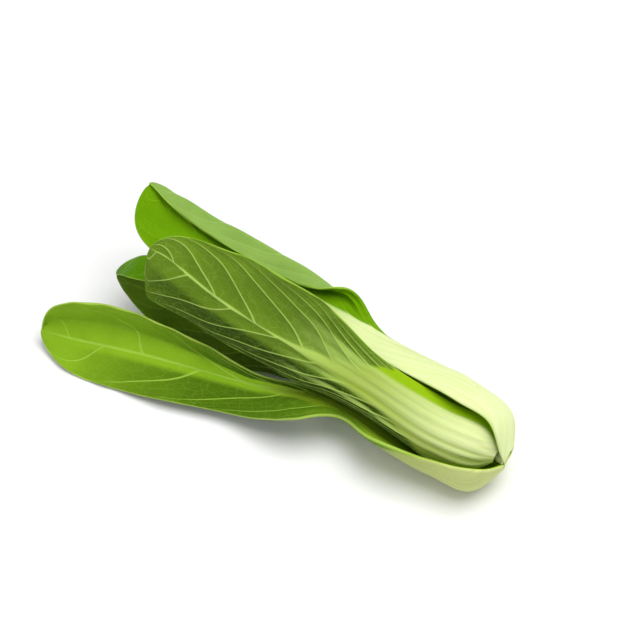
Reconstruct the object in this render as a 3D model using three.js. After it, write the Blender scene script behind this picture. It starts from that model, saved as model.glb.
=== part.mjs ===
// A head of Shanghai bok choy lying on a flat surface, as cut from the root.
// Units are millimetres, +Z is up, the root end lies towards +X and the leaf tips towards -X.
//
// Every leaf is one sheet: a thick clasping petiole that thins into a blade. It is described at
// eight stations from its base to its tip, in the head's own frame: "along" the head's axis,
// "out" from the axis at the leaf's angle "around" it, and "aside", at right angles to both.
import * as THREE from 'three';

// ---- the head as a whole ----
const HEAD_TILT = 7;            // degrees that the axis climbs from the root end to the tips
const AXIS_HEIGHT = 17.5;       // height of the axis at the root end, above the surface
const BLADE_THICKNESS = 0.7;
const STATIONS = [0, 0.07, 0.2, 0.42, 0.58, 0.78, 0.92, 1];
const NECK = STATIONS[3];       // where the petiole ends and the blade begins
const ROW_CROWDING = 1.35;      // rows lie closer together towards the tip
const RIM_SHARE = 0.25;         // thickness of a petiole's margin, as a share of its middle
const RIB_WIDTH = 0.1;          // width of a rib, as a share of the leaf's half width
const PINCH_AT = 0.365;         // station of the waist just below a blade
const PINCH_SPAN = 0.045;       // length of that waist
const BULK = [2.4, 5, 4.5, 2.5, 1.1, 0.8, 0.7, 0.7];
const SLIM_BULK = [3.2, 4, 4, 2.5, 1.1, 0.8, 0.7, 0.7];
const HEART_BULK = [2.2, 2.8, 2.8, 2, 1.1, 0.8, 0.7, 0.7];
const FLAT = [0, 0, 0, 0, 0, 0, 0, 0];

// ---- columns across a leaf, from its midrib to its margin ----
const PLAIN_COLUMNS = [0.17, 0.34, 0.5, 0.67, 0.84, 1];
const FOLDED_COLUMNS = [0.16, 0.32, 0.45, 0.49, 0.53, 0.57, 0.62, 0.8, 1];
const CREASED_COLUMNS = [0.15, 0.3, 0.37, 0.44, 0.52, 0.68, 0.84, 1];
const RIBBED_COLUMNS = [0.12, 0.24, 0.36, 0.48, 0.6, 0.74, 0.88, 1];
const HEART_COLUMNS = [0.25, 0.5, 0.75, 1];

const COLOURS = { leaf: '#8fb04e', stump: '#d9cfa4' };

// Lengths are in mm and angles in degrees. "roll" turns the sheet about its midrib. "left" and
// "right" are its two halves, with their widths measured along the sheet; "curl" bends a half
// inward (or outward where negative), evenly; "fold" bends it again between the two shares of the
// half width given by "foldSpan"; "pinch" draws the half in at its waist, by that share. The tip
// rounds off from "tipStart" on, and the margin has "waves" waves of the height "wave".
const LEAVES = [
  {
    name: 'leaf_front_outer', around: -45, rows: 28,
    along: [-2.4, 3.2, 23, 74, 104, 150, 182, 196],
    out: [4.4, 16.6, 20.6, 15.8, 23.4, 34.4, 43.5, 47],
    aside: [0, 0, 0, 0, 0, -1, -2, -2],
    roll: [0, 0, 0, 32, 68, 75, 80, 80],
    left: { width: [2.4, 8.6, 10.4, 4.6, 7.5, 22, 24, 26], curl: [31, 31, 31, 30, 0, 0, 0, 0],
      fold: [0, 0, 0, 40, 65, 65, 65, 60], foldSpan: [0.3, 0.5], pinch: 0, columns: CREASED_COLUMNS },
    right: { width: [4.2, 19.5, 19, 17, 14, 16.6, 14, 10], curl: [55, 67, 52, 20, 0, 0, 0, 0],
      fold: FLAT, foldSpan: [0.4, 0.8], pinch: 0.65, columns: PLAIN_COLUMNS },
    bulk: BULK, tipStart: 0.84, ribs: [], ribHeight: 0, midrib: 0.7, wave: 0.8, waves: 5,
  },
  {
    name: 'leaf_back_outer', around: 155, rows: 28,
    along: [-2.2, 3.8, 24, 72, 98, 141, 170, 182.5],
    out: [4.6, 15.2, 20.3, 18.3, 19, 19.5, 24, 29.5],
    aside: FLAT,
    roll: [0, 0, 0, 40, 75, 90, 90, 90],
    left: { width: [11, 20.7, 24.5, 11, 14, 16, 16, 11], curl: [137, 78, 67, 30, 20, 10, 0, 0],
      fold: FLAT, foldSpan: [0.4, 0.8], pinch: 0, columns: PLAIN_COLUMNS },
    right: { width: [3.4, 11.1, 14.9, 11, 17, 19, 13, 9], curl: [42, 42, 42, 10, 0, 0, 0, 0],
      fold: [0, 0, 0, 0, -150, -165, -160, -150], foldSpan: [0.48, 0.6], pinch: 0, columns: FOLDED_COLUMNS },
    bulk: BULK, tipStart: 0.9, ribs: [], ribHeight: 0, midrib: 0.7, wave: 0.4, waves: 5,
  },
  {
    name: 'leaf_under_outer', around: 235, rows: 26,
    along: [-2.2, 3.8, 24, 70, 96, 131, 152, 162],
    out: [4.6, 16, 21, 19, 26, 42, 47, 48.5],
    aside: FLAT,
    roll: [0, 0, 0, -10, -25, -35, -35, -35],
    left: { width: [2.6, 9.2, 12.1, 10, 18, 20, 18, 12], curl: [33, 33, 33, 30, 20, 10, 5, 0],
      fold: FLAT, foldSpan: [0.4, 0.8], pinch: 0, columns: PLAIN_COLUMNS },
    right: { width: [3.7, 12.8, 15.5, 7, 12, 19, 18, 12], curl: [46, 46, 46, 35, 20, 10, 5, 0],
      fold: FLAT, foldSpan: [0.4, 0.8], pinch: 0, columns: PLAIN_COLUMNS },
    bulk: BULK, tipStart: 0.8, ribs: [], ribHeight: 0, midrib: 0.6, wave: 0.8, waves: 4,
  },
  {
    name: 'leaf_top', around: 40, rows: 28,
    along: [1.8, 8, 26, 62, 90, 129, 152.5, 160.5],
    out: [6.2, 12.3, 16, 14.3, 14.9, 17, 18, 18],
    aside: [0, 0, -1, 1.5, 3, 6.5, 11.5, 11.5],
    roll: FLAT,
    left: { width: [3.5, 10, 11.5, 11.5, 15.5, 17.5, 22, 26], curl: [50, 46, 42, 40, 40, 35, 20, 10],
      fold: FLAT, foldSpan: [0.4, 0.8], pinch: 0, columns: RIBBED_COLUMNS },
    right: { width: [4, 13.6, 15.8, 14.5, 22.5, 20, 11, 6], curl: [55, 64, 64, 26, -15, -5, 5, 10],
      fold: FLAT, foldSpan: [0.4, 0.8], pinch: 0, columns: RIBBED_COLUMNS },
    bulk: SLIM_BULK, tipStart: 0.84, ribs: [-0.6, -0.24, 0.08, 0.32, 0.56], ribHeight: 0.6,
    midrib: 0.8, wave: 0.5, waves: 6,
  },
  {
    name: 'leaf_under_inner', around: -60, rows: 26,
    along: [5.2, 9.5, 26, 66, 94, 138, 168, 179],
    out: [6, 12.5, 15.5, 11, 9.2, 13, 15, 15],
    aside: [0, 0, 0, -2, -6, -7, -7, -7],
    roll: [0, 0, 0, -30, -75, -85, -85, -85],
    left: { width: [5, 11, 13.5, 8.6, 13.5, 17, 9, 5], curl: [48, 50, 50, 45, 20, 5, 0, 0],
      fold: FLAT, foldSpan: [0.4, 0.8], pinch: 0, columns: PLAIN_COLUMNS },
    right: { width: [5, 11, 13.5, 6.5, 8, 15, 27, 20], curl: [48, 50, 50, 45, 20, 10, 0, 0],
      fold: [0, 0, 0, 0, 0, -40, -140, -150], foldSpan: [0.52, 0.64], pinch: 0, columns: FOLDED_COLUMNS },
    bulk: SLIM_BULK, tipStart: 0.88, ribs: [], ribHeight: 0, midrib: 0.6, wave: 0.7, waves: 6,
  },
  {
    name: 'leaf_back_inner', around: 170, rows: 26,
    along: [5.2, 9.5, 26, 66, 92, 132, 156, 166],
    out: [5.6, 11.6, 14.5, 12, 12, 14, 15, 15],
    aside: [0, 0, 0, 4, 9, 12, 13, 13],
    roll: [0, 0, 0, 0, -20, -60, -60, -60],
    left: { width: [5, 11, 13.5, 8, 8, 13, 12, 8], curl: [48, 50, 50, 45, 20, 10, 10, 10],
      fold: FLAT, foldSpan: [0.4, 0.8], pinch: 0, columns: PLAIN_COLUMNS },
    right: { width: [5, 11, 13.5, 9, 9, 13, 12, 8], curl: [48, 50, 50, 45, 20, 10, 10, 10],
      fold: FLAT, foldSpan: [0.4, 0.8], pinch: 0, columns: PLAIN_COLUMNS },
    bulk: SLIM_BULK, tipStart: 0.8, ribs: [], ribHeight: 0, midrib: 0.6, wave: 0.6, waves: 5,
  },
  {
    name: 'leaf_heart_large', around: 235, rows: 20,
    along: [8, 12, 26, 54, 74, 98, 114, 120],
    out: [3.2, 7.8, 10.5, 7.5, 5.5, 5, 5, 5],
    aside: [0, 0, 0, -1.4, -2.2, -2, -1.5, -1.5],
    roll: FLAT,
    left: { width: [2.4, 6.5, 8.6, 4.6, 5, 5.5, 5, 4], curl: [45, 48, 50, 50, 40, 30, 30, 30],
      fold: FLAT, foldSpan: [0.4, 0.8], pinch: 0, columns: HEART_COLUMNS },
    right: { width: [2.4, 6.5, 8.6, 3.4, 3, 3, 3, 2.5], curl: [45, 48, 50, 50, 40, 30, 30, 30],
      fold: FLAT, foldSpan: [0.4, 0.8], pinch: 0, columns: HEART_COLUMNS },
    bulk: HEART_BULK, tipStart: 0.8, ribs: [], ribHeight: 0, midrib: 0.4, wave: 0.5, waves: 4,
  },
  {
    name: 'leaf_heart_small', around: 55, rows: 20,
    along: [8, 12, 24, 50, 70, 96, 112, 118],
    out: [3.2, 7.5, 9.5, 7, 6, 7, 7, 7],
    aside: [0, 0, 0, -1, -2, -1, 0, 0],
    roll: FLAT,
    left: { width: [2.4, 6, 8, 6, 7, 7, 6, 5], curl: [45, 46, 48, 50, 40, 30, 30, 30],
      fold: FLAT, foldSpan: [0.4, 0.8], pinch: 0, columns: HEART_COLUMNS },
    right: { width: [2.4, 6, 8, 5, 5, 6, 6, 5], curl: [45, 46, 48, 50, 40, 30, 30, 30],
      fold: FLAT, foldSpan: [0.4, 0.8], pinch: 0, columns: HEART_COLUMNS },
    bulk: HEART_BULK, tipStart: 0.8, ribs: [], ribHeight: 0, midrib: 0.4, wave: 0.4, waves: 4,
  },
];

// Root stump: [radius, distance along the axis], from the cut face to its crown inside the head.
const STUMP_SIDES = 28;
const STUMP_PROFILE = [
  [0, -1], [2.9, -1], [3.3, -0.6], [3.4, 0.2], [3.4, 1.2], [3.1, 2.2], [2.4, 3.2], [1.3, 4.1],
  [0, 4.6],
];

// ---- small maths ----
const radians = THREE.MathUtils.degToRad;
const ALONG = new THREE.Vector3(-1, 0, 0);

function ease(x) {
  const k = THREE.MathUtils.clamp(x, 0, 1);
  return k * k * (3 - 2 * k);
}

// A smooth curve through the values given at the stations.
function atStation(values, s) {
  const last = STATIONS.length - 2;
  let i = 0;
  while (i < last && s >= STATIONS[i + 1]) i += 1;
  const span = STATIONS[i + 1] - STATIONS[i];
  const slope = (k) => (values[k + 1] - values[k]) / (STATIONS[k + 1] - STATIONS[k]);
  const tangent = (k) => {
    if (k === 0) return slope(0);
    if (k === STATIONS.length - 1) return slope(k - 1);
    const before = STATIONS[k] - STATIONS[k - 1];
    const after = STATIONS[k + 1] - STATIONS[k];
    return (slope(k - 1) * after + slope(k) * before) / (before + after);
  };
  const t = (s - STATIONS[i]) / span;
  const u = 1 - t;
  return (1 + 2 * t) * u * u * values[i] + t * u * u * span * tangent(i)
    + t * t * (3 - 2 * t) * values[i + 1] - t * t * u * span * tangent(i + 1);
}

// ---- one leaf ----
function axesOf(leaf) {
  const angle = radians(leaf.around);
  return {
    out: new THREE.Vector3(0, -Math.cos(angle), Math.sin(angle)),
    aside: new THREE.Vector3(0, Math.sin(angle), Math.cos(angle)),
  };
}

function midribPoint(leaf, axes, s) {
  return new THREE.Vector3()
    .addScaledVector(ALONG, atStation(leaf.along, s))
    .addScaledVector(axes.out, atStation(leaf.out, s))
    .addScaledVector(axes.aside, atStation(leaf.aside, s));
}

// The midrib point at s, with the direction across the leaf and the one out of its lower face.
function frameAt(leaf, s) {
  const axes = axesOf(leaf);
  const step = 1e-3;
  const ahead = midribPoint(leaf, axes, Math.min(s + step, 1));
  const behind = midribPoint(leaf, axes, Math.max(s - step, 0));
  const tangent = ahead.sub(behind).normalize();
  const direction = ALONG.clone().lerp(tangent, ease(s / NECK)).normalize();
  const outward = axes.out.clone().addScaledVector(direction, -axes.out.dot(direction)).normalize();
  const across = new THREE.Vector3().crossVectors(outward, direction);
  if (across.dot(axes.aside) < 0) across.negate();
  const roll = radians(atStation(leaf.roll, s));
  const outwardRolled = outward.clone().multiplyScalar(Math.cos(roll))
    .addScaledVector(across, -Math.sin(roll));
  const acrossRolled = outward.clone().multiplyScalar(Math.sin(roll))
    .addScaledVector(across, Math.cos(roll));
  return { point: midribPoint(leaf, axes, s), across: acrossRolled, outward: outwardRolled };
}

// Half width at s, closed to a round tip and drawn in at the waist.
function halfWidth(leaf, half, s) {
  const beyond = Math.max(0, (s - leaf.tipStart) / (1 - leaf.tipStart));
  const round = Math.sqrt(Math.max(0, 1 - beyond ** 2.4));
  const waist = 1 - half.pinch * Math.exp(-(((s - PINCH_AT) / PINCH_SPAN) ** 2));
  return atStation(half.width, s) * Math.max(round, 0.05) * waist;
}

// The lower face of the leaf, at s from base to tip and t from the left margin to the right.
function sheetPoint(leaf, frame, s, t) {
  const half = t < 0 ? leaf.left : leaf.right;
  const reach = Math.abs(t);
  const curl = radians(atStation(half.curl, s));
  const fold = radians(atStation(half.fold, s));
  const [foldFrom, foldTo] = half.foldSpan;
  const bend = (share) => curl * share + fold * ease((share - foldFrom) / (foldTo - foldFrom));
  const steps = 60;
  let sideways = 0;
  let inward = 0;
  for (let i = 0; i < steps; i += 1) {
    const angle = bend(reach * (i + 0.5) / steps);
    sideways += Math.cos(angle) * reach / steps;
    inward += Math.sin(angle) * reach / steps;
  }
  const width = halfWidth(leaf, half, s);
  return frame.point.clone()
    .addScaledVector(frame.across, Math.sign(t) * sideways * width)
    .addScaledVector(frame.outward, -inward * width);
}

function sheetNormal(leaf, frame, s, t) {
  const step = 2e-3;
  const low = Math.max(s - step, 0);
  const high = Math.min(s + step, 1);
  const onward = sheetPoint(leaf, frameAt(leaf, high), high, t)
    .sub(sheetPoint(leaf, frameAt(leaf, low), low, t));
  const left = Math.max(t - step, -1);
  const right = Math.min(t + step, 1);
  const crosswise = sheetPoint(leaf, frame, s, right).sub(sheetPoint(leaf, frame, s, left));
  const side = Math.sign(new THREE.Vector3().crossVectors(frame.across, ALONG).dot(frame.outward));
  return crosswise.cross(onward).normalize().multiplyScalar(side);
}

// Ribs, midrib and the wave of the margin, as a height above the plain sheet.
function relief(leaf, s, t) {
  const blade = ease((s - 0.36) / 0.2);
  const taper = 1 - ease((s - 0.5) / 0.5);
  let height = leaf.midrib * blade * taper * Math.exp(-((t / RIB_WIDTH) ** 2));
  for (const rib of leaf.ribs) {
    height += leaf.ribHeight * (1 - blade) * ease(s / 0.12) * Math.exp(-(((t - rib) / RIB_WIDTH) ** 2));
  }
  const phase = t > 0 ? 1.3 : 0;
  height += leaf.wave * blade * Math.abs(t) ** 3 * Math.sin(2 * Math.PI * leaf.waves * s + phase);
  return height;
}

function thickness(leaf, s, t) {
  const bulk = atStation(leaf.bulk, s);
  return BLADE_THICKNESS + Math.max(0, bulk - BLADE_THICKNESS) * (1 - (1 - RIM_SHARE) * t * t);
}

// From the head's frame to the surface that it lies on.
const tiltAxis = new THREE.Vector3(0, 1, 0);

function toSurface(point) {
  const placed = point.clone().applyAxisAngle(tiltAxis, radians(HEAD_TILT));
  placed.z += AXIS_HEIGHT;
  return placed;
}

function leafGeometry(leaf) {
  const across = [...leaf.left.columns.map((x) => -x).reverse(), 0, ...leaf.right.columns];
  const lower = [];
  const upper = [];
  for (let row = 0; row <= leaf.rows; row += 1) {
    const s = 1 - (1 - row / leaf.rows) ** ROW_CROWDING;
    const frame = frameAt(leaf, s);
    for (const t of across) {
      const normal = sheetNormal(leaf, frame, s, t);
      const base = sheetPoint(leaf, frame, s, t).addScaledVector(normal, relief(leaf, s, t));
      const below = toSurface(base);
      const above = toSurface(base.clone().addScaledVector(normal, -thickness(leaf, s, t)));
      const lift = Math.max(0, -Math.min(below.z, above.z));   // pressed flat where it rests
      below.z += lift;
      above.z += lift;
      lower.push(below);
      upper.push(above);
    }
  }
  const points = [...lower, ...upper];
  const width = across.length;
  const faces = [];
  const under = (row, column) => row * width + column;
  const over = (row, column) => lower.length + row * width + column;
  const quad = (a, b, c, d) => faces.push(a, b, c, a, c, d);
  for (let row = 0; row < leaf.rows; row += 1) {
    for (let column = 0; column < width - 1; column += 1) {
      const corners = [[row, column], [row, column + 1], [row + 1, column + 1], [row + 1, column]];
      const [a, b, c, d] = corners.map(([r, k]) => under(r, k));
      quad(a, b, c, d);
      const [e, f, g, h] = corners.map(([r, k]) => over(r, k));
      quad(e, h, g, f);
    }
    quad(under(row, 0), under(row + 1, 0), over(row + 1, 0), over(row, 0));
    const edge = width - 1;
    quad(under(row + 1, edge), under(row, edge), over(row, edge), over(row + 1, edge));
  }
  for (let column = 0; column < width - 1; column += 1) {
    quad(under(0, column + 1), under(0, column), over(0, column), over(0, column + 1));
    const tip = leaf.rows;
    quad(under(tip, column), under(tip, column + 1), over(tip, column + 1), over(tip, column));
  }
  if (signedVolume(points, faces) < 0) faces.reverse();
  const geometry = new THREE.BufferGeometry();
  const flatPoints = points.flatMap((point) => [point.x, point.y, point.z]);
  geometry.setAttribute('position', new THREE.Float32BufferAttribute(flatPoints, 3));
  geometry.setIndex(faces);
  geometry.computeVertexNormals();
  return geometry;
}

function signedVolume(points, faces) {
  let volume = 0;
  for (let i = 0; i < faces.length; i += 3) {
    const [a, b, c] = [points[faces[i]], points[faces[i + 1]], points[faces[i + 2]]];
    volume += a.dot(b.clone().cross(c)) / 6;
  }
  return volume;
}

// ---- the head ----
const head = new THREE.Group();

for (const leaf of LEAVES) {
  const material = new THREE.MeshStandardMaterial({ color: COLOURS.leaf, roughness: 0.5, metalness: 0 });
  const mesh = new THREE.Mesh(leafGeometry(leaf), material);
  mesh.name = leaf.name;
  head.add(mesh);
}

const stumpOutline = STUMP_PROFILE.map(([radius, along]) => new THREE.Vector2(radius, along));
const stump = new THREE.Mesh(
  new THREE.LatheGeometry(stumpOutline, STUMP_SIDES),
  new THREE.MeshStandardMaterial({ color: COLOURS.stump, roughness: 0.85, metalness: 0 }),
);
stump.name = 'root_stump';
stump.rotation.z = Math.PI / 2;
const stumpPlace = new THREE.Group();
stumpPlace.rotation.y = radians(HEAD_TILT);
stumpPlace.position.z = AXIS_HEIGHT;
stumpPlace.add(stump);
head.add(stumpPlace);

// The origin is on the surface, under the middle of the head.
head.updateMatrixWorld(true);
const extent = new THREE.Box3().setFromObject(head, true);
const middle = extent.getCenter(new THREE.Vector3());
head.position.set(-middle.x, -middle.y, 0);

export default head;
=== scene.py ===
"""Looks for a head of Shanghai bok choy that lies on a pale surface.

Each packed leaf is replaced by a finer one made with the same formulas, with veins, puckers and a
rounded margin of its own. Lengths are in millimetres up to the point where a mesh is made.
"""

import math

import bpy
import numpy as np
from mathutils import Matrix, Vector


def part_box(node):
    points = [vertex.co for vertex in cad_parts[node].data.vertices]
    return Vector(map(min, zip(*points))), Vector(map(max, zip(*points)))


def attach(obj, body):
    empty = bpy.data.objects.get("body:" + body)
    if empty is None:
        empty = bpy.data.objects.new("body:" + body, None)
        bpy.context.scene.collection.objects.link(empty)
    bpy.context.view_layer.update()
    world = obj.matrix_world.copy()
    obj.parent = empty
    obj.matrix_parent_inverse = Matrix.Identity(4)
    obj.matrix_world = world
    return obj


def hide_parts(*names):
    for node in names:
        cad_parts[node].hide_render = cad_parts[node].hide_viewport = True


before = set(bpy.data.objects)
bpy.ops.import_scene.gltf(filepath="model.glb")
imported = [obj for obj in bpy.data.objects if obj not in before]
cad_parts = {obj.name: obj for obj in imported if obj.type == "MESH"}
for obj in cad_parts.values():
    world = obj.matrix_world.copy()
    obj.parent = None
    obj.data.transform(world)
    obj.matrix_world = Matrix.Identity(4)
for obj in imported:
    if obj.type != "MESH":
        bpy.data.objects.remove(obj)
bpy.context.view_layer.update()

MM = 0.001

# ---- the head's form, as in the CAD solids ----
HEAD_TILT = math.radians(7)
AXIS_HEIGHT = 17.5
BLADE_THICKNESS = 0.7
STATIONS = np.array([0, 0.07, 0.2, 0.42, 0.58, 0.78, 0.92, 1])
NECK = STATIONS[3]
ROW_CROWDING = 1.35
RIM_SHARE = 0.25
RIB_WIDTH = 0.1
PINCH_AT, PINCH_SPAN = 0.365, 0.045      # station and length of the waist below a blade
TIP_POWER = 2.4                          # how square the rounded tip is
NARROWEST = 0.05                         # share of the width that is left at the very tip
BLADE_FROM, BLADE_SPAN = 0.36, 0.2       # station and length of the change from petiole to blade
MIDRIB_FROM = 0.5                        # station from which the midrib sinks into the blade
RIB_START = 0.12                         # station at which the petiole's ribs have their height
WAVE_OFFSET = 1.3                        # how far the right margin's waves are ahead, in radians
BULK = [2.4, 5, 4.5, 2.5, 1.1, 0.8, 0.7, 0.7]
SLIM_BULK = [3.2, 4, 4, 2.5, 1.1, 0.8, 0.7, 0.7]
HEART_BULK = [2.2, 2.8, 2.8, 2, 1.1, 0.8, 0.7, 0.7]
FLAT = [0] * 8
ALONG = np.array([-1.0, 0.0, 0.0])
PALE = [3, 3, 1.4, 0.35, 0.05, 0.02, 0.01, 0]


def half(width, curl, fold=FLAT, fold_span=(0.4, 0.8), pinch=0,
         pale=PALE, painted_shade=FLAT, painted_shade_from=0.1):
    """One half of a leaf, from its midrib to its margin, by station: mm and degrees.

    "pale" is the share of the half that is still pale like the petiole. Painted shade says how
    much darker the half is drawn where it lies in shadow, outside the share where that shade starts.
    """
    return {"width": width, "curl": curl, "fold": fold, "fold_span": fold_span,
            "pinch": pinch, "pale": pale, "painted_shade": painted_shade, "painted_shade_from": painted_shade_from}


def palette(**changes):
    """A leaf's colours, as 8-bit sRGB. "lower" is the outer face, "upper" the one to the heart."""
    colours = {
        "petiole_lower": (212, 226, 152), "petiole_upper": (160, 194, 40),
        "blade_lower": (92, 126, 18), "blade_upper": (80, 130, 0),
        "vein_lower": (150, 178, 78), "vein_upper": (140, 182, 56),
        "margin": (150, 186, 60), "groove": (172, 196, 54), "wing": (138, 176, 12),
    }
    colours.update(changes)
    return colours


# "veins" is the number of side veins and "spread" how steeply they climb. "flush" is how green the
# petiole turns towards the blade, and "wing" the share of its right half where the green begins.
# painted shade, given for each half, darkens the parts of the leaves that lie in shadow
LEAVES = [
    dict(
        node="leaf_front_outer", around=-45, rows=210, columns=110,
        along=[-2.4, 3.2, 23, 74, 104, 150, 182, 196],
        out=[4.4, 16.6, 20.6, 15.8, 23.4, 34.4, 43.5, 47],
        aside=[0, 0, 0, 0, 0, -1, -2, -2],
        roll=[0, 0, 0, 32, 68, 75, 80, 80],
        left=half([2.4, 8.6, 10.4, 4.6, 7.5, 22, 24, 26], [31, 31, 31, 30, 0, 0, 0, 0],
                  [0, 0, 0, 40, 65, 65, 65, 60], (0.3, 0.5),
                  painted_shade=[0, 0, 0, 1, 1, 0.3, 0.05, 0], painted_shade_from=0.3),
        right=half([4.2, 19.5, 19, 17, 14, 16.6, 14, 10], [55, 67, 52, 20, 0, 0, 0, 0],
                   pinch=0.65, painted_shade=[0, 0, 0, 0.75, 0.85, 0.6, 0.08, 0]),
        bulk=BULK, tip_start=0.84, ribs=[], rib_height=0, midrib=0.7, wave=0.8, waves=5,
        veins=6, spread=0.2, flush=0.9,
        colours=palette(petiole_lower=(200, 208, 136), groove=(122, 150, 30),
                        blade_lower=(104, 152, 4), blade_upper=(134, 176, 32),
                        vein_upper=(162, 200, 74), margin=(166, 192, 88)),
    ),
    dict(
        node="leaf_back_outer", around=155, rows=210, columns=130,
        along=[-2.2, 3.8, 24, 72, 98, 141, 170, 182.5],
        out=[4.6, 15.2, 20.3, 18.3, 19, 19.5, 24, 29.5],
        aside=FLAT,
        roll=[0, 0, 0, 40, 75, 90, 90, 90],
        left=half([11, 20.7, 24.5, 11, 14, 16, 16, 11], [137, 78, 67, 30, 20, 10, 0, 0],
                  pale=[3, 3, 2.4, 1.2, 0.5, -0.05, -0.05, -0.05]),
        right=half([3.4, 11.1, 14.9, 11, 17, 19, 13, 9], [42, 42, 42, 10, 0, 0, 0, 0],
                   [0, 0, 0, 0, -150, -165, -160, -150], (0.48, 0.6),
                   pale=[3, 3, 1.8, 0.4, 0.08, -0.05, -0.05, -0.05]),
        bulk=BULK, tip_start=0.9, ribs=[], rib_height=0, midrib=0.7, wave=0.4, waves=5,
        veins=7, spread=0.22, flush=0.12,
        colours=palette(petiole_lower=(220, 231, 172), blade_lower=(104, 152, 2),
                        blade_upper=(132, 166, 78), vein_upper=(150, 184, 96),
                        vein_lower=(122, 168, 16)),
    ),
    dict(
        node="leaf_under_outer", around=235, rows=180, columns=90,
        along=[-2.2, 3.8, 24, 70, 96, 131, 152, 162],
        out=[4.6, 16, 21, 19, 26, 42, 47, 48.5],
        aside=FLAT,
        roll=[0, 0, 0, -10, -25, -35, -35, -35],
        left=half([2.6, 9.2, 12.1, 10, 18, 20, 18, 12], [33, 33, 33, 30, 20, 10, 5, 0]),
        right=half([3.7, 12.8, 15.5, 7, 12, 19, 18, 12], [46, 46, 46, 35, 20, 10, 5, 0]),
        bulk=BULK, tip_start=0.8, ribs=[], rib_height=0, midrib=0.6, wave=0.8, waves=4,
        veins=7, spread=0.22, flush=0.45,
        colours=palette(),
    ),
    dict(
        node="leaf_top", around=40, rows=220, columns=110,
        along=[1.8, 8, 26, 62, 90, 129, 152.5, 160.5],
        out=[6.2, 12.3, 16, 14.3, 14.9, 17, 18, 18],
        aside=[0, 0, -1, 1.5, 3, 6.5, 11.5, 11.5],
        roll=FLAT,
        left=half([3.5, 10, 11.5, 11.5, 15.5, 17.5, 22, 26], [50, 46, 42, 40, 40, 35, 20, 10],
                  pale=[3, 3, 1.0, 0.24, 0.04, 0.02, 0.01, 0],
                  painted_shade=[0, 0, 0.95, 1, 1, 0.88, 0.5, 0.1], painted_shade_from=0.28),
        right=half([4, 13.6, 15.8, 14.5, 22.5, 20, 11, 6], [55, 64, 64, 26, -15, -5, 5, 10],
                   pale=[3, 3, 3, 0.44, 0.05, 0.02, 0.01, 0],
                   painted_shade=[0, 0, 0, 0.2, 0.15, 0, 0, 0]),
        bulk=SLIM_BULK, tip_start=0.84, ribs=[-0.6, -0.24, 0.08, 0.32, 0.56], rib_height=0.6,
        midrib=0.8, wave=0.5, waves=6,
        veins=9, spread=0.26, flush=0.8, wing=0.64,
        colours=palette(petiole_lower=(218, 228, 166), groove=(140, 168, 34),
                        blade_lower=(98, 130, 30), vein_lower=(172, 200, 100)),
    ),
    dict(
        node="leaf_under_inner", around=-60, rows=160, columns=80,
        along=[5.2, 9.5, 26, 66, 94, 138, 168, 179],
        out=[6, 12.5, 15.5, 11, 9.2, 13, 15, 15],
        aside=[0, 0, 0, -2, -6, -7, -7, -7],
        roll=[0, 0, 0, -30, -75, -85, -85, -85],
        left=half([5, 11, 13.5, 8.6, 13.5, 17, 9, 5], [48, 50, 50, 45, 20, 5, 0, 0],
                  painted_shade=[0, 0, 0, 1, 1, 0.1, 0, 0]),
        right=half([5, 11, 13.5, 6.5, 8, 15, 27, 20], [48, 50, 50, 45, 20, 10, 0, 0],
                   [0, 0, 0, 0, 0, -40, -140, -150], (0.52, 0.64),
                   painted_shade=[0, 0, 0, 1, 1, 0.6, 0, 0]),
        bulk=SLIM_BULK, tip_start=0.88, ribs=[], rib_height=0, midrib=0.6, wave=0.7, waves=6,
        veins=9, spread=0.16, flush=0.45,
        colours=palette(blade_lower=(96, 128, 24), vein_lower=(122, 150, 48)),
    ),
    dict(
        node="leaf_back_inner", around=170, rows=160, columns=80,
        along=[5.2, 9.5, 26, 66, 92, 132, 156, 166],
        out=[5.6, 11.6, 14.5, 12, 12, 14, 15, 15],
        aside=[0, 0, 0, 4, 9, 12, 13, 13],
        roll=[0, 0, 0, 0, -20, -60, -60, -60],
        left=half([5, 11, 13.5, 8, 8, 13, 12, 8], [48, 50, 50, 45, 20, 10, 10, 10]),
        right=half([5, 11, 13.5, 9, 9, 13, 12, 8], [48, 50, 50, 45, 20, 10, 10, 10]),
        bulk=SLIM_BULK, tip_start=0.8, ribs=[], rib_height=0, midrib=0.6, wave=0.6, waves=5,
        veins=8, spread=0.2, flush=0.45,
        colours=palette(),
    ),
    dict(
        node="leaf_heart_large", around=235, rows=120, columns=60,
        along=[8, 12, 26, 54, 74, 98, 114, 120],
        out=[3.2, 7.8, 10.5, 7.5, 5.5, 5, 5, 5],
        aside=[0, 0, 0, -1.4, -2.2, -2, -1.5, -1.5],
        roll=FLAT,
        left=half([2.4, 6.5, 8.6, 4.6, 5, 5.5, 5, 4], [45, 48, 50, 50, 40, 30, 30, 30]),
        right=half([2.4, 6.5, 8.6, 3.4, 3, 3, 3, 2.5], [45, 48, 50, 50, 40, 30, 30, 30]),
        bulk=HEART_BULK, tip_start=0.8, ribs=[], rib_height=0, midrib=0.4, wave=0.5, waves=4,
        veins=8, spread=0.2, flush=0.45,
        colours=palette(),
    ),
    dict(
        node="leaf_heart_small", around=55, rows=110, columns=60,
        along=[8, 12, 24, 50, 70, 96, 112, 118],
        out=[3.2, 7.5, 9.5, 7, 6, 7, 7, 7],
        aside=[0, 0, 0, -1, -2, -1, 0, 0],
        roll=FLAT,
        left=half([2.4, 6, 8, 6, 7, 7, 6, 5], [45, 46, 48, 50, 40, 30, 30, 30]),
        right=half([2.4, 6, 8, 5, 5, 6, 6, 5], [45, 46, 48, 50, 40, 30, 30, 30]),
        bulk=HEART_BULK, tip_start=0.8, ribs=[], rib_height=0, midrib=0.4, wave=0.4, waves=4,
        veins=8, spread=0.2, flush=0.45,
        colours=palette(),
    ),
]

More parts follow.
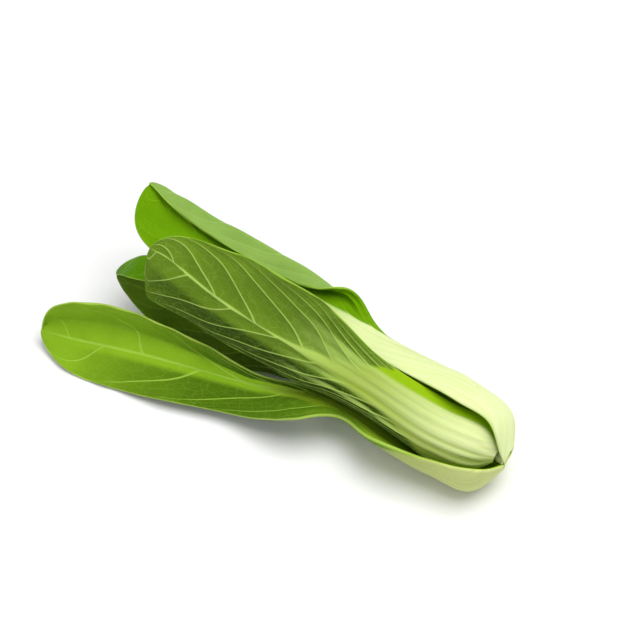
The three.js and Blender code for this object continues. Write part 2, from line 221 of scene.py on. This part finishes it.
# Root stump: (radius, distance along the axis), from the cut face to its crown inside the head.
STUMP_RADIUS = 3.4
STUMP_PROFILE = [
    (0, -1), (2.9, -1), (3.3, -0.6), (STUMP_RADIUS, 0.2), (STUMP_RADIUS, 1.2),
    (3.1, 2.2), (2.4, 3.2), (1.3, 4.1), (0, 4.6),
]


# ---- small maths ----
def ease(x):
    k = np.clip(x, 0, 1)
    return k * k * (3 - 2 * k)


def unit(v):
    return v / np.linalg.norm(v, axis=-1, keepdims=True)


def at_station(values, s):
    """A smooth curve through the values given at the stations, for every s."""
    values = np.asarray(values, float)
    span = np.diff(STATIONS)
    slope = np.diff(values) / span
    inner = (slope[:-1] * span[1:] + slope[1:] * span[:-1]) / (span[1:] + span[:-1])
    tangent = np.concatenate([slope[:1], inner, slope[-1:]])
    i = np.clip(np.searchsorted(STATIONS, s, side="right") - 1, 0, len(span) - 1)
    t = (s - STATIONS[i]) / span[i]
    u = 1 - t
    return ((1 + 2 * t) * u * u * values[i] + t * u * u * span[i] * tangent[i]
            + t * t * (3 - 2 * t) * values[i + 1] - t * t * u * span[i] * tangent[i + 1])


RIPPLES = 7                # waves that a ripple is made of


def ripple(x, y, wavelength, seed):
    """Soft irregular hills of about unit height, with a given wavelength."""
    draw = np.random.default_rng(seed)
    total = np.zeros(np.broadcast(x, y).shape)
    for _ in range(RIPPLES):
        heading = draw.uniform(0, 2 * math.pi)
        pace = 2 * math.pi / (wavelength * draw.uniform(0.7, 1.5))
        phase = draw.uniform(0, 2 * math.pi)
        total += np.sin(pace * (x * math.cos(heading) + y * math.sin(heading)) + phase)
    return total / math.sqrt(RIPPLES)


# ---- the form of a leaf ----
def axes_of(leaf):
    """The directions out from the head's axis at the leaf, and aside from it."""
    angle = math.radians(leaf["around"])
    out = np.array([0, -math.cos(angle), math.sin(angle)])
    aside = np.array([0, math.sin(angle), math.cos(angle)])
    return out, aside


def midrib_points(leaf, s):
    out, aside = axes_of(leaf)
    return (at_station(leaf["along"], s)[:, None] * ALONG + at_station(leaf["out"], s)[:, None] * out
            + at_station(leaf["aside"], s)[:, None] * aside)


def frames(leaf, s):
    """At every s: the midrib's point, the direction across the leaf and out of its lower face."""
    out, aside = axes_of(leaf)
    step = 1e-3
    ahead = midrib_points(leaf, np.minimum(s + step, 1))
    tangent = unit(ahead - midrib_points(leaf, np.maximum(s - step, 0)))
    lean = ease(s / NECK)[:, None]
    direction = unit((1 - lean) * ALONG + lean * tangent)
    outward = unit(out - (direction @ out)[:, None] * direction)
    across = np.cross(outward, direction)
    across = np.where((across @ aside)[:, None] < 0, -across, across)
    roll = np.radians(at_station(leaf["roll"], s))[:, None]
    return (midrib_points(leaf, s), outward * np.sin(roll) + across * np.cos(roll),
            outward * np.cos(roll) - across * np.sin(roll))


def half_width(leaf, side, s):
    beyond = np.maximum(0, (s - leaf["tip_start"]) / (1 - leaf["tip_start"]))
    roundness = np.sqrt(np.maximum(0, 1 - beyond ** TIP_POWER))
    waist = 1 - side["pinch"] * np.exp(-(((s - PINCH_AT) / PINCH_SPAN) ** 2))
    return at_station(side["width"], s) * np.maximum(roundness, NARROWEST) * waist


def sheet(leaf, s, t):
    """The lower face of the leaf on the grid of s, base to tip, by t, left margin to right."""
    point, across, outward = frames(leaf, s)
    surface = np.empty((len(s), len(t), 3))
    steps = 60             # short straight pieces that stand for the bend of a half
    for sign, side in ((-1, leaf["left"]), (1, leaf["right"])):
        columns = np.where(t < 0)[0] if sign < 0 else np.where(t >= 0)[0]
        reach = np.abs(t[columns])
        share = reach[:, None] * (np.arange(steps) + 0.5) / steps
        low, high = side["fold_span"]
        curl = np.radians(at_station(side["curl"], s))[:, None, None]
        fold = np.radians(at_station(side["fold"], s))[:, None, None]
        bend = curl * share + fold * ease((share - low) / (high - low))
        width = half_width(leaf, side, s)[:, None]
        sideways = np.cos(bend).mean(2) * reach * width * sign
        inward = np.sin(bend).mean(2) * reach * width
        surface[:, columns] = (point[:, None] + sideways[..., None] * across[:, None]
                               - inward[..., None] * outward[:, None])
    return surface


def sheet_normals(leaf, s, t):
    """Unit normals out of the lower face."""
    step = 2e-3
    onward = sheet(leaf, np.minimum(s + step, 1), t) - sheet(leaf, np.maximum(s - step, 0), t)
    crosswise = sheet(leaf, s, np.minimum(t + step, 1)) - sheet(leaf, s, np.maximum(t - step, -1))
    _, across, outward = frames(leaf, s)
    side = np.sign(np.einsum("ij,ij->i", np.cross(across, ALONG), outward))
    return unit(np.cross(crosswise, onward)) * side[:, None, None]


def blade_share(s):
    """0 on the petiole, 1 on the blade."""
    return ease((s - BLADE_FROM) / BLADE_SPAN)


def relief(leaf, s, t):
    """Ribs, midrib and the wave of the margin, as a height above the plain sheet."""
    blade = blade_share(s)
    taper = 1 - ease((s - MIDRIB_FROM) / (1 - MIDRIB_FROM))
    height = leaf["midrib"] * blade * taper * np.exp(-((t / RIB_WIDTH) ** 2))
    for rib in leaf["ribs"]:
        height = height + (leaf["rib_height"] * (1 - blade) * ease(s / RIB_START)
                           * np.exp(-(((t - rib) / RIB_WIDTH) ** 2)))
    phase = np.where(t > 0, WAVE_OFFSET, 0)
    return height + (leaf["wave"] * blade * np.abs(t) ** 3
                     * np.sin(2 * math.pi * leaf["waves"] * s + phase))


def thickness(leaf, s, t):
    bulk = at_station(leaf["bulk"], s)
    return BLADE_THICKNESS + np.maximum(0, bulk - BLADE_THICKNESS) * (1 - (1 - RIM_SHARE) * t * t)


# ---- fine detail that the CAD solids leave out, in mm where nothing else is said ----
VEIN_REACH = 1.08          # side veins bend along the margin as they near this share of the half
FAN = 1.35                 # the side veins lean closer to the midrib towards the neck
HALVES_APART = 0.45        # how far the left half's side veins are from the right half's, in veins
VEIN_WOBBLE = 0.1          # how far they stray, in veins
VEIN_HEIGHT = 0.3
VEIN_BREADTH = 0.55        # half the breadth of a vein's swelling at the midrib
VEIN_TAPER = 0.28          # how much of it is lost by the margin
INNER_VEIN = 0.4           # height on the upper face, as a share of the lower face's
PUCKER = 0.55              # how far the blade swells between two side veins
UNEVEN_BLADE = 0.42
UNEVEN_PETIOLE = 0.12
FRILL = 0.3                # height of the small waves at the blade's margin
FRAY = 0.16                # how far the petiole's pale fibres run on into the blade
EDGE_SOFTNESS = 0.035      # how softly the pale turns green, as a share of the half
NECK_SOFTNESS = 0.2        # what is added to that at the neck
PAINTED_SHADE_SOFTNESS = 0.2        # the same for the painted shade on a half, where the half lies in shadow
SOFT_EDGE = 1.0            # length over which the base end is rounded
RIDGE_WIDTH = 0.12         # breadth of a rib's colour, as a share of the half


def side_veins(leaf, s, t, length, width, seed):
    """Phase of the side veins, which run where it is whole, and the mm that one unit of it spans."""
    bend = np.log(np.maximum(1 - np.abs(t) / VEIN_REACH, 1e-3)) * (FAN - s)
    wobble = ripple(s * length, t * width, 26, seed) * VEIN_WOBBLE
    phase = (leaf["veins"] * (s + leaf["spread"] * bend) + np.where(t < 0, HALVES_APART, 0)
             + wobble)
    by_s = leaf["veins"] / length
    by_t = (leaf["veins"] * leaf["spread"] * (FAN - s) / (VEIN_REACH - np.abs(t))
            / np.maximum(width, 1))
    return phase, 1 / np.hypot(by_s, by_t)


def vein_mask(phase, scale, half_breadth):
    distance = np.abs((phase + 0.5) % 1 - 0.5) * scale
    return np.exp(-((distance / half_breadth) ** 2))


def to_surface(points):
    """From the head's frame to the surface that it lies on."""
    cos, sin = math.cos(HEAD_TILT), math.sin(HEAD_TILT)
    x, y, z = np.moveaxis(points, -1, 0)
    return np.stack([x * cos + z * sin, y, z * cos - x * sin + AXIS_HEIGHT], -1)


def head_shift():
    """How far the CAD head was moved along X and Y, from where its root stump lies."""
    low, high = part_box("root_stump")
    radius, along = STUMP_PROFILE[1]
    face_edge = radius * math.sin(HEAD_TILT) - along * math.cos(HEAD_TILT)
    return np.array([high.x / MM - face_edge, (low.y + high.y) / 2 / MM, 0])


SHIFT = head_shift()


def make_mesh(name, points, faces, fields, flat_map=None):
    """A smooth mesh object from points in millimetres, with float fields and a flat map in mm."""
    mesh = bpy.data.meshes.new(name)
    mesh.from_pydata(((points + SHIFT) * MM).tolist(), [], faces)
    mesh.polygons.foreach_set("use_smooth", [True] * len(mesh.polygons))
    for field, values in fields.items():
        attribute = mesh.attributes.new(field, "FLOAT", "POINT")
        attribute.data.foreach_set("value", np.ascontiguousarray(values, np.float32))
    if flat_map is not None:
        corner = np.empty(len(mesh.loops), np.int32)
        mesh.loops.foreach_get("vertex_index", corner)
        layer = mesh.uv_layers.new(name="flat_map")
        layer.data.foreach_set("uv", (flat_map[corner] / 100).astype(np.float32).ravel())
    mesh.update()
    piece = bpy.data.objects.new(name, mesh)
    bpy.context.scene.collection.objects.link(piece)
    return piece


def leaf_grid(leaf):
    """Shares from base to tip and from margin to margin, closer together where edges are round."""
    k = np.linspace(0, 1, leaf["rows"] + 1)
    s = 1 - (1 - k) ** ROW_CROWDING
    s = np.concatenate([[0, 0.0008, 0.002, 0.004], s[1:]])
    edge = 1 - np.array([0, 0.0015, 0.005, 0.011, 0.02, 0.033, 0.048])
    middle = np.linspace(-0.935, 0.935, leaf["columns"] - 2 * len(edge) + 1)
    return s, np.concatenate([-edge, middle, edge[::-1]])


def by_side(leaf, t, value):
    """What value gives for the left half where t is negative, and for the right half elsewhere."""
    return np.where(t < 0, value(leaf["left"]), value(leaf["right"]))


def closed_faces(rows, columns):
    """Quads of a sheet's lower and upper face, which share the points of their edge."""
    under = np.arange(rows * columns).reshape(rows, columns)
    over = under.copy()
    inside = (rows - 2) * (columns - 2)
    over[1:-1, 1:-1] = under.size + np.arange(inside).reshape(rows - 2, columns - 2)

    def quads(index):
        corners = [index[:-1, :-1], index[:-1, 1:], index[1:, 1:], index[1:, :-1]]
        return np.stack(corners, -1).reshape(-1, 4)

    return np.concatenate([quads(under), quads(over)[:, ::-1]])


def facing_out(faces, lower, upper):
    """The faces, turned round if they look into the leaf."""
    row, column = lower.shape[0] // 3, lower.shape[1] // 2
    a, b, c = lower[row, column], lower[row, column + 1], lower[row + 1, column + 1]
    facing = np.cross(b - a, c - a) @ (lower - upper)[row, column]
    return faces[:, ::-1] if facing < 0 else faces


def tissue(leaf, s, T, x, y, seed):
    """How green each point is, from pale petiole to blade, and how much painted shade darkens it."""
    reach = np.abs(T)
    pale = by_side(leaf, T, lambda side: at_station(side["pale"], s)[:, None])
    neck = 1 - ease((s - BLADE_FROM) / 0.26)
    softness = EDGE_SOFTNESS + NECK_SOFTNESS * neck[:, None]
    streaky = FRAY * ripple(x * 0.12, y, 2.6, seed) * np.minimum(pale, 1)
    green = ease((reach - pale + streaky + 0.3 * softness) / softness)
    painted_shade = by_side(leaf, T, lambda side: at_station(side["painted_shade"], s)[:, None]
                   * ease((reach - side["painted_shade_from"]) / PAINTED_SHADE_SOFTNESS))
    return green, painted_shade


def leaf_piece(leaf, seed):
    s, t = leaf_grid(leaf)
    S, T = s[:, None], t[None, :]
    reach = np.abs(T)
    blade = blade_share(S)
    base = sheet(leaf, s, t)
    normal = sheet_normals(leaf, s, t)
    full = thickness(leaf, S, T)
    length = leaf["along"][-1]
    width = by_side(leaf, T, lambda side: half_width(leaf, side, s)[:, None])
    plain_width = by_side(leaf, T, lambda side: at_station(side["width"], s)[:, None])
    x, y = S * length, T * plain_width
    green, painted_shade = tissue(leaf, s, T, x, y, seed + 4)

    # side veins, puckers between them, and slow unevenness
    phase, scale = side_veins(leaf, S, T, length, plain_width, seed)
    fading = green * (1 - reach ** 4) * (1 - ease((S - 0.9) / 0.1))
    vein = vein_mask(phase, scale, VEIN_BREADTH - VEIN_TAPER * reach) * fading
    swell = np.sin(math.pi * phase) ** 2 * fading * (1 - vein)
    uneven = (UNEVEN_BLADE * ripple(x, y, 17, seed + 1) * blade * reach
              + UNEVEN_PETIOLE * ripple(x * 0.25, y, 7, seed + 2) * (1 - blade))
    frill = FRILL * blade * reach ** 6 * ripple(x, np.sign(T) * 40, 9, seed + 3)
    sway = uneven + frill - PUCKER * swell

    # rounded margins, tip and base end
    to_margin = (1 - reach) * width
    to_tip = (1 - S) * length
    roundness = np.minimum(np.minimum(to_margin / (full / 2), to_tip / (full / 2)),
                           S * length / SOFT_EDGE)
    roundness = np.clip(roundness, 0, 1)
    fullness = np.sqrt(1 - (1 - roundness) ** 2)
    middle = base + (relief(leaf, S, T) + sway * roundness - full / 2)[..., None] * normal
    raised = VEIN_HEIGHT * vein * roundness
    lower = to_surface(middle + (full / 2 * fullness + raised)[..., None] * normal)
    upper = to_surface(middle - (full / 2 * fullness - INNER_VEIN * raised)[..., None] * normal)
    lift = np.maximum(0, -np.minimum(lower[..., 2], upper[..., 2]))
    lower[..., 2] += lift
    upper[..., 2] += lift

    shape = base.shape[:2]

    def on_points(values, upper_values=None):
        """Values for the points of the lower face, and then for the upper face's own points."""
        upper_values = values if upper_values is None else upper_values
        return np.concatenate([np.broadcast_to(values, shape).ravel(),
                               np.broadcast_to(upper_values, shape)[1:-1, 1:-1].ravel()])

    ridge = sum((np.exp(-(((T - rib) / RIDGE_WIDTH) ** 2)) for rib in leaf["ribs"]),
                np.zeros((1, len(t))))
    on_edge = np.zeros(shape)
    on_edge[[0, -1], :] = 0.5
    on_edge[:, [0, -1]] = 0.5
    wing = ease((T - leaf.get("wing", 1)) / 0.1) * (1 - blade)
    # among these fields is the painted shade that darkens the parts of a half lying in shadow
    fields = {
        "along": on_points(S), "across": on_points(T), "upper": on_points(on_edge, 1.0),
        "green": on_points(green), "rim": on_points(np.minimum(to_margin, to_tip)),
        "lateral": on_points(phase), "lateral_mm": on_points(scale), "ridge": on_points(ridge),
        "painted_shade": on_points(painted_shade), "wing": on_points(wing),
    }
    points = np.concatenate([lower.reshape(-1, 3), upper[1:-1, 1:-1].reshape(-1, 3)])
    faces = facing_out(closed_faces(*shape), lower, upper)
    flat_map = np.stack([on_points(x), on_points(y)], -1)
    name = leaf["node"].replace("leaf_", "fine_leaf_")
    piece = make_mesh(name, points, faces.tolist(), fields, flat_map)
    piece.data.materials.append(leaf_material(leaf))
    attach(piece, "root")
    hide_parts(leaf["node"])


# ---- materials ----
def linear(rgb):
    """A node colour from 8-bit sRGB."""
    share = np.array(rgb) / 255
    value = np.where(share <= 0.04045, share / 12.92, ((share + 0.055) / 1.055) ** 2.4)
    return (*value.tolist(), 1)


class Nodes:
    """A material's node tree, with one short call for each kind of node."""

    def __init__(self, name):
        self.material = bpy.data.materials.new(name)
        self.material.use_nodes = True
        self.tree = self.material.node_tree
        self.shader = self.tree.nodes["Principled BSDF"]

    def put(self, socket, value):
        if isinstance(value, bpy.types.NodeSocket):
            self.tree.links.new(value, socket)
        else:
            socket.default_value = value

    def attribute(self, name):
        node = self.tree.nodes.new("ShaderNodeAttribute")
        node.attribute_name = name
        return node.outputs["Fac"]

    def math(self, operation, *values):
        node = self.tree.nodes.new("ShaderNodeMath")
        node.operation = operation
        for socket, value in zip(node.inputs, values):
            self.put(socket, value)
        return node.outputs[0]

    def step(self, value, low, high):
        """0 up to low, 1 from high, smooth between; with high below low it falls instead."""
        node = self.tree.nodes.new("ShaderNodeMapRange")
        node.interpolation_type = "SMOOTHSTEP"
        falling = high < low
        ends = (high, low, 1, 0) if falling else (low, high, 0, 1)
        self.put(node.inputs[0], value)
        for socket, end in zip(node.inputs[1:5], ends):
            socket.default_value = end
        return node.outputs[0]

    def mix(self, share, first, second, blend="MIX"):
        node = self.tree.nodes.new("ShaderNodeMix")
        node.data_type = "RGBA"
        node.blend_type = blend
        self.put(node.inputs[0], share)
        self.put(node.inputs[6], first)
        self.put(node.inputs[7], second)
        return node.outputs[2]

    def place(self, source, scale):
        """Coordinates from the leaf's flat map or the object, stretched."""
        if source == "flat_map":
            node = self.tree.nodes.new("ShaderNodeUVMap")
            node.uv_map = "flat_map"
            output = node.outputs[0]
        else:
            output = self.tree.nodes.new("ShaderNodeTexCoord").outputs["Object"]
        mapping = self.tree.nodes.new("ShaderNodeMapping")
        self.put(mapping.inputs["Vector"], output)
        mapping.inputs["Scale"].default_value = scale
        return mapping.outputs[0]

    def noise(self, place, scale, detail=3, roughness=0.5):
        node = self.tree.nodes.new("ShaderNodeTexNoise")
        self.put(node.inputs["Vector"], place)
        node.inputs["Scale"].default_value = scale
        node.inputs["Detail"].default_value = detail
        node.inputs["Roughness"].default_value = roughness
        return node.outputs["Fac"]

    def cells(self, place, scale, feature="DISTANCE_TO_EDGE"):
        node = self.tree.nodes.new("ShaderNodeTexVoronoi")
        node.feature = feature
        self.put(node.inputs["Vector"], place)
        node.inputs["Scale"].default_value = scale
        return node.outputs["Distance"]

    def bump(self, height, strength, distance):
        node = self.tree.nodes.new("ShaderNodeBump")
        node.inputs["Strength"].default_value = strength
        node.inputs["Distance"].default_value = distance
        self.put(node.inputs["Height"], height)
        self.put(self.shader.inputs["Normal"], node.outputs[0])


# what a cloudy patch of a blade multiplies its colour by, and what painted shade multiplies it by
# where a half lies in shadow
CLOUDED = (0.62, 0.72, 0.5, 1)
PAINTED_SHADE_TINT = (0.15, 0.22, 0.03, 1)
SHADED_RIBS = linear((132, 150, 34))
FRECKLE = linear((110, 105, 50))


def petiole_colour(n, leaf, tone, upper, streaks):
    """Fine streaks along it, greener towards the blade; where it has ribs, painted shade in the
    grooves between them, so the ribs show as light lines, and painted shade towards its left margin.
    """
    broad = n.noise(n.place("flat_map", (3, 16, 1)), 1, 2)
    colour = n.mix(upper, tone["petiole_lower"], tone["petiole_upper"])
    flush = n.math("MULTIPLY", n.step(n.attribute("along"), 0.06, 0.46), leaf["flush"])
    colour = n.mix(flush, colour, tone["groove"])
    colour = n.mix(n.math("MULTIPLY", n.step(streaks, 0.42, 0.75), 0.3), colour, tone["groove"])
    colour = n.mix(n.math("MULTIPLY", n.step(broad, 0.5, 0.75), 0.2), colour, tone["groove"])
    if leaf["ribs"]:
        # painted shade darkens the grooves between the ribs and the side towards the left margin, as
        # if in shadow
        painted_groove_shade = n.step(n.attribute("ridge"), 0.8, 0.1)
        colour = n.mix(n.math("MULTIPLY", painted_groove_shade, 0.55), colour, tone["groove"])
        shaded_half = n.step(n.attribute("across"), 0.1, -0.7)
        colour = n.mix(n.math("MULTIPLY", shaded_half, 0.6), colour, SHADED_RIBS)
    return n.mix(n.attribute("wing"), colour, tone["wing"])


def blade_colour(n, tone, upper, clouds):
    """Two faces, clouded a little, and darkened by painted shade where the leaf says so."""
    colour = n.mix(upper, tone["blade_lower"], tone["blade_upper"])
    clouded = n.mix(1.0, colour, CLOUDED, "MULTIPLY")
    colour = n.mix(n.math("MULTIPLY", n.step(clouds, 0.4, 0.75), 0.3), colour, clouded)
    return n.mix(n.attribute("painted_shade"), colour, n.mix(1.0, colour, PAINTED_SHADE_TINT, "MULTIPLY"))


def side_vein_masks(n):
    """The side veins, which thin towards the margin, and the minor ones between them."""
    phase = n.attribute("lateral")
    scale = n.attribute("lateral_mm")
    reach = n.math("ABSOLUTE", n.attribute("across"))
    distance = n.math("MULTIPLY", n.math("PINGPONG", phase, 0.5), scale)
    breadth = n.math("MULTIPLY_ADD", reach, -0.24, 0.46)
    vein = n.step(n.math("DIVIDE", distance, breadth), 1.0, 0.3)
    vein = n.math("MULTIPLY", vein, n.step(reach, 1.0, 0.72))
    minor_phase = n.math("MULTIPLY", phase, 3)
    minor_distance = n.math("MULTIPLY", n.math("PINGPONG", minor_phase, 0.5), scale)
    return vein, n.step(minor_distance, 0.9, 0.1)


def leaf_material(leaf):
    n = Nodes(leaf["node"] + "_skin")
    tone = {key: linear(value) for key, value in leaf["colours"].items()}
    upper = n.step(n.attribute("upper"), 0.25, 0.75)
    green = n.attribute("green")
    along = n.attribute("along")
    streaks = n.noise(n.place("flat_map", (2.2, 60, 1)), 1, 4, 0.6)
    clouds = n.noise(n.place("object", (1, 1, 1)), 55, 3)

    # veins over the blade: a coarse net, a fine one, minor and side veins, and the ribs' ends
    net = n.step(n.cells(n.place("flat_map", (22, 30, 1)), 1), 0.07, 0.0)
    fine_net = n.step(n.cells(n.place("flat_map", (62, 80, 1)), 1), 0.1, 0.0)
    vein, minor = side_vein_masks(n)
    layers = [(net, 0.1), (fine_net, 0.05), (minor, 0.06), (vein, 0.8)]
    if leaf["ribs"]:
        ends = n.step(along, 0.64, 0.44)
        layers.append((n.math("MULTIPLY", n.step(n.attribute("ridge"), 0.45, 1.0), ends), 0.75))
    vein_colour = n.mix(upper, tone["vein_lower"], tone["vein_upper"])
    blade = blade_colour(n, tone, upper, clouds)
    for mask, strength in layers:
        blade = n.mix(n.math("MULTIPLY", mask, strength), blade, vein_colour)

    # the petiole runs on as the midrib, in the veins' colour
    petiole = petiole_colour(n, leaf, tone, upper, streaks)
    petiole = n.mix(n.step(along, 0.42, 0.66), petiole, vein_colour)
    skin = n.mix(green, petiole, blade)

    # light line round the margin of the blade
    rim = n.math("MULTIPLY", n.step(n.attribute("rim"), 0.5, 0.15), green)
    skin = n.mix(n.math("MULTIPLY", rim, 0.8), skin, tone["margin"])

    # a few small freckles
    spots = n.step(n.cells(n.place("object", (1, 1, 1)), 420, "F1"), 0.16, 0.1)
    patch = n.step(n.noise(n.place("object", (1, 1, 1)), 60, 2), 0.66, 0.72)
    spots = n.math("MULTIPLY", n.math("MULTIPLY", spots, patch), 0.6)
    n.put(n.shader.inputs["Base Color"], n.mix(spots, skin, FRECKLE))

    roughness = n.math("MULTIPLY_ADD", upper, -0.1, 0.5)
    n.put(n.shader.inputs["Roughness"], n.math("MULTIPLY_ADD", clouds, 0.12, roughness))
    n.shader.inputs["Subsurface Weight"].default_value = 0.3
    n.shader.inputs["Subsurface Radius"].default_value = (0.7, 1.0, 0.25)
    n.shader.inputs["Subsurface Scale"].default_value = 1.6 * MM
    n.shader.inputs["Specular IOR Level"].default_value = 0.15
    n.shader.inputs["Specular Tint"].default_value = (0.8, 1.0, 0.2, 1)

    # veins stand out of the lower face and sink into the upper one
    grain = n.noise(n.place("flat_map", (180, 180, 1)), 1, 2)
    height = n.math("MULTIPLY_ADD", vein, 0.6, n.math("MULTIPLY", net, 0.4))
    height = n.math("MULTIPLY_ADD", fine_net, 0.2, height)
    height = n.math("MULTIPLY", height, n.math("MULTIPLY_ADD", upper, -1.6, 1.0))
    height = n.math("MULTIPLY", height, green)
    height = n.math("MULTIPLY_ADD", grain, 0.25, height)
    height = n.math("MULTIPLY_ADD", streaks, n.math("SUBTRACT", 1.0, green), height)
    n.bump(height, 0.6, 0.4 * MM)
    return n.material


PITH, FIBRES = linear((226, 220, 180)), linear((206, 190, 150))
BROWNED = linear((178, 148, 104))
RING = linear((226, 214, 170))
STUMP_SIDE = linear((214, 222, 160))


def stump_material():
    """Fibrous pith with browned patches, a paler ring of strands and a green side."""
    n = Nodes("stump_cut_face")
    radius = n.attribute("radius")
    fibres = n.noise(n.place("object", (1, 1, 1)), 900, 4, 0.6)
    patches = n.noise(n.place("object", (1, 1, 1)), 260, 3)
    face = n.mix(n.step(patches, 0.5, 0.7), n.mix(fibres, PITH, FIBRES), BROWNED)
    ring = n.math("MULTIPLY", n.step(radius, 2.0, 2.4), n.step(radius, 2.9, 2.6))
    face = n.mix(n.math("MULTIPLY", ring, 0.5), face, RING)
    face = n.mix(n.math("MULTIPLY", n.step(radius, 2.8, 3.2), 0.8), face, STUMP_SIDE)
    n.put(n.shader.inputs["Base Color"], face)
    n.shader.inputs["Roughness"].default_value = 0.8
    n.shader.inputs["Subsurface Weight"].default_value = 0.15
    n.shader.inputs["Subsurface Scale"].default_value = 1.0 * MM
    n.bump(n.math("MULTIPLY_ADD", patches, 0.6, fibres), 0.7, 0.4 * MM)
    return n.material


# ---- root stump ----
STUMP_SIDES, STUMP_RINGS = 96, 58
STUMP_ROUGHNESS = 0.16     # how far the cut face is uneven, in mm


def stump_piece():
    profile = np.array(STUMP_PROFILE, float)
    lengths = np.concatenate([[0], np.cumsum(np.linalg.norm(np.diff(profile, axis=0), axis=1))])
    share = np.linspace(0, lengths[-1], STUMP_RINGS + 2)[1:-1]
    radius = np.interp(share, lengths, profile[:, 0])
    along = np.interp(share, lengths, profile[:, 1])
    angle = np.arange(STUMP_SIDES) / STUMP_SIDES * 2 * math.pi
    R, A = radius[:, None], angle[None, :]
    ragged = ripple(R * np.cos(A), R * np.sin(A), 2.6, 31)
    L = along[:, None] + STUMP_ROUGHNESS * ragged * ease(R / 2)
    R = R * (1 + 0.02 * ripple(np.cos(A) * 6, np.sin(A) * 6, 4, 32) * (R / STUMP_RADIUS))
    ring = np.stack([-L * np.ones_like(A), R * np.cos(A), R * np.sin(A)], -1)
    ends = np.array([[-profile[0, 1], 0, 0], [-profile[-1, 1], 0, 0]])
    points = to_surface(np.concatenate([ring.reshape(-1, 3), ends]))
    index = np.arange(STUMP_RINGS * STUMP_SIDES).reshape(STUMP_RINGS, STUMP_SIDES)
    turned = np.roll(index, -1, axis=1)
    walls = np.stack([index[:-1], turned[:-1], turned[1:], index[1:]], -1).reshape(-1, 4).tolist()
    first, last = index.size, index.size + 1
    caps = [[first, int(b), int(a)] for a, b in zip(index[0], turned[0])]
    caps += [[last, int(a), int(b)] for a, b in zip(index[-1], turned[-1])]
    spread = np.concatenate([np.repeat(radius, STUMP_SIDES), [0, 0]])
    piece = make_mesh("cut_root_stump", points, walls + caps, {"radius": spread})
    piece.data.materials.append(stump_material())
    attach(piece, "root")
    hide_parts("root_stump")


for number, leaf in enumerate(LEAVES):
    leaf_piece(leaf, 100 + 10 * number)
stump_piece()


# ---- floor, light and camera ----
FLOOR_REACH = 3.0          # metres from the middle to each side
FLOOR_GREY = 0.86


def floor():
    r = FLOOR_REACH
    mesh = bpy.data.meshes.new("floor")
    mesh.from_pydata([(-r, -r, 0), (r, -r, 0), (r, r, 0), (-r, r, 0)], [], [(0, 1, 2, 3)])
    surface = bpy.data.objects.new("floor", mesh)
    bpy.context.scene.collection.objects.link(surface)
    n = Nodes("pale_floor")
    n.shader.inputs["Base Color"].default_value = (FLOOR_GREY, FLOOR_GREY, FLOOR_GREY, 1)
    n.shader.inputs["Roughness"].default_value = 0.7
    mesh.materials.append(n.material)


def area_light(name, direction, distance, size, watts):
    """A square soft light that faces the head from the given direction, at metres from it."""
    light = bpy.data.lights.new(name, "AREA")
    light.shape = "SQUARE"
    light.size = size
    light.energy = watts
    lamp = bpy.data.objects.new(name, light)
    bpy.context.scene.collection.objects.link(lamp)
    lamp.location = Vector(direction).normalized() * distance
    lamp.rotation_euler = (-lamp.location).to_track_quat("-Z", "Y").to_euler()


def studio_light():
    area_light("key", (0.25, 0.1, 1.0), 1.2, 0.9, 14)
    area_light("fill", (-0.7, -0.8, 0.8), 1.4, 1.2, 3)
    world = bpy.data.worlds.new("studio")
    world.use_nodes = True
    background = world.node_tree.nodes["Background"]
    background.inputs["Color"].default_value = (1, 1, 1, 1)
    background.inputs["Strength"].default_value = 0.45
    bpy.context.scene.world = world
    bpy.context.scene.view_settings.view_transform = "Standard"
    bpy.context.scene.view_settings.look = "None"


CAMERA_AZIMUTH = math.radians(30)
CAMERA_ELEVATION = math.radians(50)
CAMERA_DISTANCE = 700.0
AIM_ALONG = 95.0                 # point of the head's axis whose pixel is known
AIM_PIXEL = (294, 343)
PIXELS_PER_MM = 2.5              # in the 640 x 640 picture, at that point
SENSOR = 36.0
PICTURE = 640


def photo_camera():
    a, e = CAMERA_AZIMUTH, CAMERA_ELEVATION
    back = np.array([math.sin(a) * math.cos(e), -math.cos(a) * math.cos(e), math.sin(e)])
    right = np.array([math.cos(a), math.sin(a), 0])
    up = np.cross(back, right)
    aim = to_surface(AIM_ALONG * ALONG) + SHIFT
    centre = (aim + right * (PICTURE / 2 - AIM_PIXEL[0]) / PIXELS_PER_MM
              + up * (AIM_PIXEL[1] - PICTURE / 2) / PIXELS_PER_MM)
    camera = bpy.data.objects.new("camera", bpy.data.cameras.new("camera"))
    bpy.context.scene.collection.objects.link(camera)
    camera.location = Vector((centre + back * CAMERA_DISTANCE) * MM)
    camera.rotation_euler = Vector(back).to_track_quat("Z", "Y").to_euler()
    camera.data.sensor_width = SENSOR
    camera.data.lens = PIXELS_PER_MM * CAMERA_DISTANCE * SENSOR / PICTURE
    camera.data.clip_start = 0.01
    bpy.context.scene.camera = camera


floor()
studio_light()
photo_camera()
